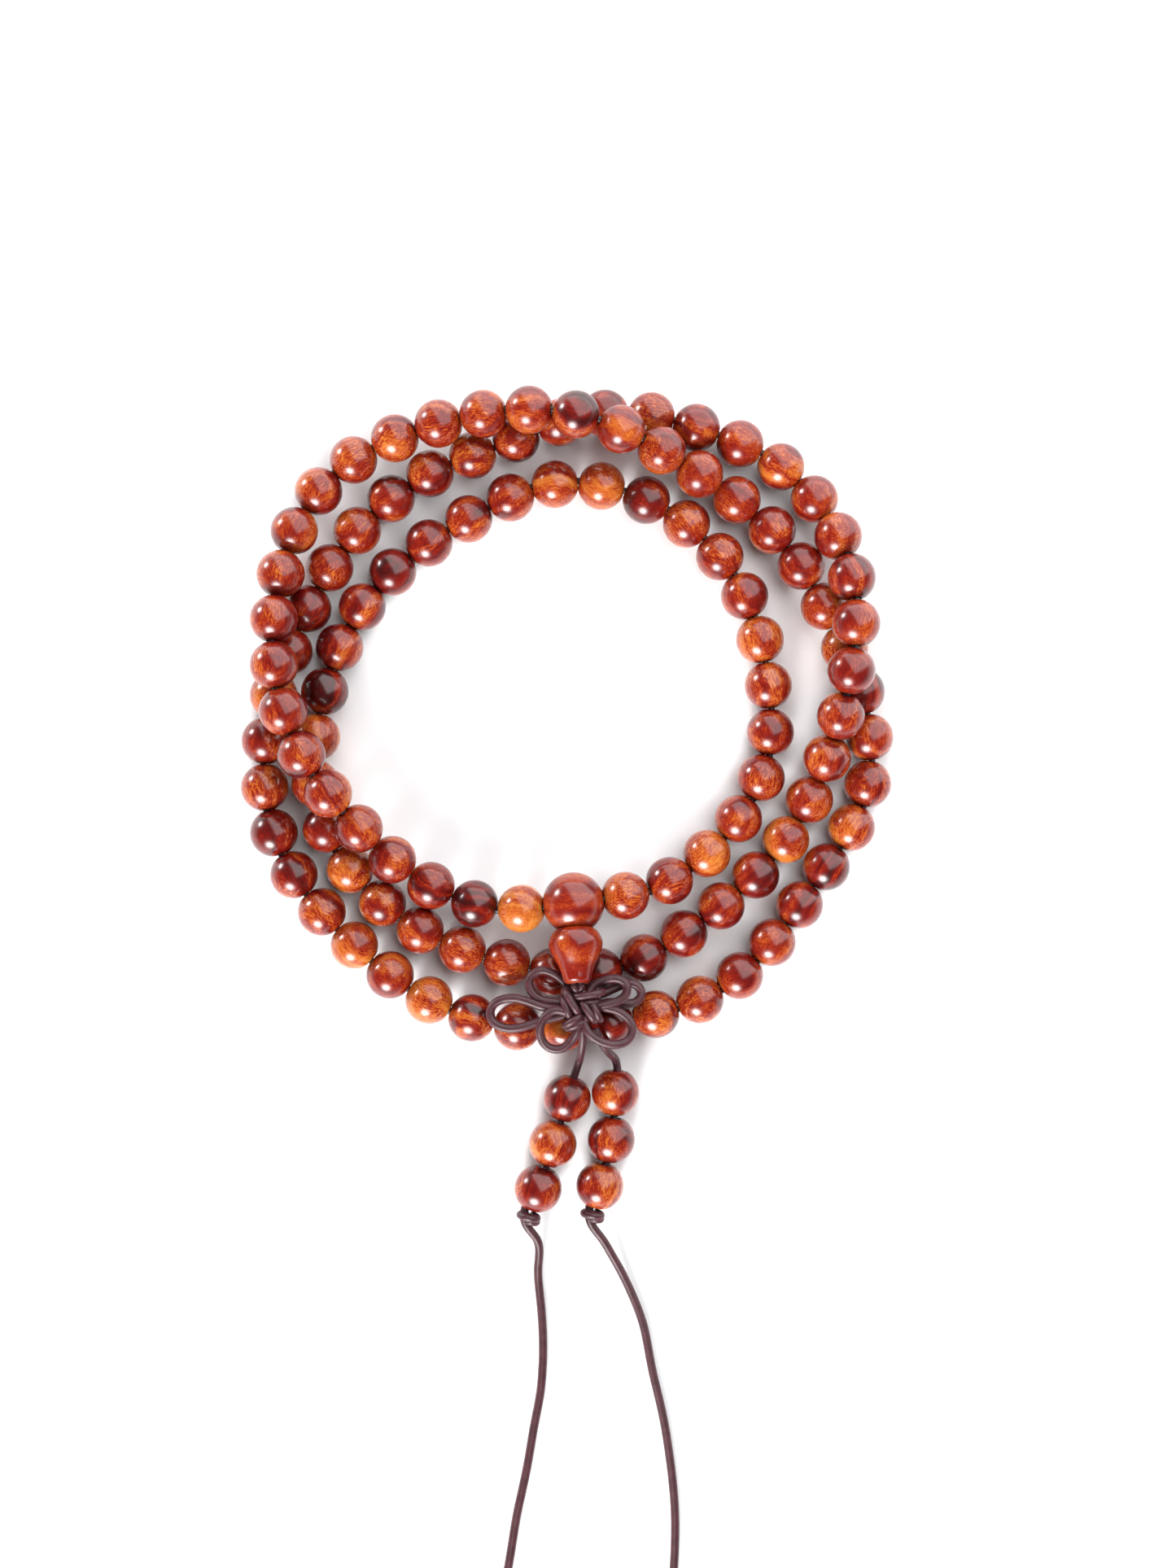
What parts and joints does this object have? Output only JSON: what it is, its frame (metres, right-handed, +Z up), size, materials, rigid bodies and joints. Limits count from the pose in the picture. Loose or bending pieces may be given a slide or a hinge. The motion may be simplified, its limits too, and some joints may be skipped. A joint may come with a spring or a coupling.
{
  "type": "mala prayer beads",
  "caption": "Wooden mala prayer beads laid down as a ring of three wraps, with a guru bead, a gourd-shaped tower bead, a flower knot and two beaded cord tails.",
  "frame": {"origin": "middle of the ring's box on the surface that it lies on", "axes": "+Z up, out of the ring's plane; the guru bead, the pendant and the tails point towards -Y"},
  "size_m": [0.1094, 0.2354, 0.0155],
  "materials": {
    "bead_wood": "polished rosewood, varying from orange-brown to dark maroon from bead to bead",
    "guru_wood": "polished reddish-brown rosewood",
    "loop_elastic": "thin dark elastic",
    "covered_elastic": "dark plum-brown thread-covered elastic"
  },
  "bodies": {
    "ring": {"loop_cord": "loop_elastic", "beads_007_to_009": "bead_wood", "beads_010_to_012": "bead_wood", "beads_013_to_015": "bead_wood", "beads_016_to_018": "bead_wood", "beads_019_to_021": "bead_wood", "beads_022_to_024": "bead_wood", "beads_025_to_027": "bead_wood", "beads_028_to_030": "bead_wood", "beads_031_to_033": "bead_wood", "beads_034_to_036": "bead_wood", "beads_037_to_039": "bead_wood", "beads_040_to_042": "bead_wood", "beads_043_to_045": "bead_wood", "beads_046_to_048": "bead_wood", "beads_049_to_051": "bead_wood", "beads_052_to_054": "bead_wood", "beads_055_to_057": "bead_wood", "beads_058_to_060": "bead_wood", "beads_061_to_063": "bead_wood", "beads_064_to_066": "bead_wood", "beads_067_to_069": "bead_wood", "beads_070_to_072": "bead_wood", "beads_073_to_075": "bead_wood", "beads_076_to_078": "bead_wood", "beads_079_to_081": "bead_wood", "beads_082_to_084": "bead_wood", "beads_085_to_087": "bead_wood", "beads_088_to_090": "bead_wood", "beads_091_to_093": "bead_wood", "beads_094_to_096": "bead_wood", "beads_097_to_099": "bead_wood", "beads_100_to_102": "bead_wood"},
    "pendant": {"guru_bead": "guru_wood", "stem_cord": "covered_elastic"},
    "tower": {"tower_bead": "guru_wood"},
    "knot": {"flower_knot": "covered_elastic"},
    "tail_left": {"tail_cord_left": "covered_elastic", "stopper_knot_left": "covered_elastic"},
    "tail_right": {"tail_cord_right": "covered_elastic", "stopper_knot_right": "covered_elastic"},
    "tail_bead_left_3": {"tail_bead_left_3": "bead_wood"},
    "tail_bead_left_2": {"tail_bead_left_2": "bead_wood"},
    "tail_bead_left_1": {"tail_bead_left_1": "bead_wood"},
    "tail_bead_right_3": {"tail_bead_right_3": "bead_wood"},
    "tail_bead_right_2": {"tail_bead_right_2": "bead_wood"},
    "tail_bead_right_1": {"tail_bead_right_1": "bead_wood"},
    "bead_001": {"bead_001": "bead_wood"},
    "bead_002": {"bead_002": "bead_wood"},
    "bead_003": {"bead_003": "bead_wood"},
    "bead_004": {"bead_004": "bead_wood"},
    "bead_005": {"bead_005": "bead_wood"},
    "bead_006": {"bead_006": "bead_wood"},
    "bead_103": {"bead_103": "bead_wood"},
    "bead_104": {"bead_104": "bead_wood"},
    "bead_105": {"bead_105": "bead_wood"},
    "bead_106": {"bead_106": "bead_wood"},
    "bead_107": {"bead_107": "bead_wood"},
    "bead_108": {"bead_108": "bead_wood"}
  },
  "joints": [
    {"name": "pendant_lift", "type": "hinge", "parent": "ring", "child": "pendant", "pos_m": [0.0011, -0.03047, 0.00821], "axis": [-0.9917, -0.1287, -0.0048], "range_deg": [0, 45]},
    {"name": "tower_spin", "type": "hinge", "parent": "pendant", "child": "tower", "pos_m": [0.00153, -0.03877, 0.00997], "axis": [0.0516, -0.9768, 0.2079], "continuous": true},
    {"name": "knot_swing", "type": "hinge", "parent": "pendant", "child": "knot", "pos_m": [0.0018, -0.04377, 0.01104], "axis": [0, 0, 1], "range_deg": [-8, 8]},
    {"name": "tail_droop_left", "type": "hinge", "parent": "knot", "child": "tail_left", "pos_m": [0.0026, -0.0511, 0.00875], "axis": [-0.9917, -0.1287, -0.0048], "range_deg": [-52, 0]},
    {"name": "tail_droop_right", "type": "hinge", "parent": "knot", "child": "tail_right", "pos_m": [0.0047, -0.0512, 0.00885], "axis": [-0.9917, -0.1287, -0.0048], "range_deg": [-52, 0]},
    {"name": "tail_bead_left_3_slide", "type": "slide", "parent": "tail_left", "child": "tail_bead_left_3", "axis": [0.3105, 0.9506, 0], "range_m": [0, 0.0005]},
    {"name": "tail_bead_left_2_slide", "type": "slide", "parent": "tail_bead_left_3", "child": "tail_bead_left_2", "axis": [0.3058, 0.9521, 0], "range_m": [0, 0.0005]},
    {"name": "tail_bead_left_1_slide", "type": "slide", "parent": "tail_bead_left_2", "child": "tail_bead_left_1", "axis": [0.3011, 0.9536, 0], "range_m": [0, 0.0005]},
    {"name": "tail_bead_right_3_slide", "type": "slide", "parent": "tail_right", "child": "tail_bead_right_3", "axis": [0.2396, 0.9709, 0], "range_m": [0, 0.0003]},
    {"name": "tail_bead_right_2_slide", "type": "slide", "parent": "tail_bead_right_3", "child": "tail_bead_right_2", "axis": [0.1644, 0.9864, 0], "range_m": [0, 0.0003]},
    {"name": "tail_bead_right_1_slide", "type": "slide", "parent": "tail_bead_right_2", "child": "tail_bead_right_1", "axis": [0.0883, 0.9961, 0], "range_m": [0, 0.0003]},
    {"name": "wrap_bead_001_spin", "type": "hinge", "parent": "ring", "child": "bead_001", "pos_m": [-0.00777, -0.03144, 0.00715], "axis": [-0.9627, -0.0794, -0.2588], "continuous": true},
    {"name": "wrap_bead_002_spin", "type": "hinge", "parent": "ring", "child": "bead_002", "pos_m": [-0.01543, -0.03067, 0.00577], "axis": [-0.9586, 0.2707, -0.0884], "continuous": true},
    {"name": "wrap_bead_003_spin", "type": "hinge", "parent": "ring", "child": "bead_003", "pos_m": [-0.0227, -0.02766, 0.00584], "axis": [-0.8672, 0.4868, 0.1049], "continuous": true},
    {"name": "wrap_bead_004_spin", "type": "hinge", "parent": "ring", "child": "bead_004", "pos_m": [-0.02903, -0.02326, 0.00721], "axis": [-0.737, 0.6297, 0.2457], "continuous": true},
    {"name": "wrap_bead_005_spin", "type": "hinge", "parent": "ring", "child": "bead_005", "pos_m": [-0.0344, -0.01804, 0.00939], "axis": [-0.6369, 0.7057, 0.3104], "continuous": true},
    {"name": "wrap_bead_006_spin", "type": "hinge", "parent": "ring", "child": "bead_006", "pos_m": [-0.03931, -0.01227, 0.01108], "axis": [-0.6209, 0.7741, 0.1232], "continuous": true},
    {"name": "wrap_bead_103_spin", "type": "hinge", "parent": "ring", "child": "bead_103", "pos_m": [0.03407, -0.002, 0.004], "axis": [-0.0375, -0.9993, 0], "continuous": true},
    {"name": "wrap_bead_104_spin", "type": "hinge", "parent": "ring", "child": "bead_104", "pos_m": [0.03251, -0.00966, 0.004], "axis": [-0.3547, -0.935, 0], "continuous": true},
    {"name": "wrap_bead_105_spin", "type": "hinge", "parent": "ring", "child": "bead_105", "pos_m": [0.02872, -0.01653, 0.004], "axis": [-0.6023, -0.7981, -0.0178], "continuous": true},
    {"name": "wrap_bead_106_spin", "type": "hinge", "parent": "ring", "child": "bead_106", "pos_m": [0.02344, -0.02235, 0.00413], "axis": [-0.7337, -0.6762, 0.0673], "continuous": true},
    {"name": "wrap_bead_107_spin", "type": "hinge", "parent": "ring", "child": "bead_107", "pos_m": [0.01712, -0.02686, 0.00523], "axis": [-0.8611, -0.4623, 0.2116], "continuous": true},
    {"name": "wrap_bead_108_spin", "type": "hinge", "parent": "ring", "child": "bead_108", "pos_m": [0.00992, -0.02926, 0.00715], "axis": [-0.952, -0.1407, 0.2718], "continuous": true}
  ],
  "couplings": [
    {"joint": "tail_droop_left", "follows": "pendant_lift", "ratio": -1.137},
    {"joint": "tail_droop_right", "follows": "pendant_lift", "ratio": -1.137}
  ]
}
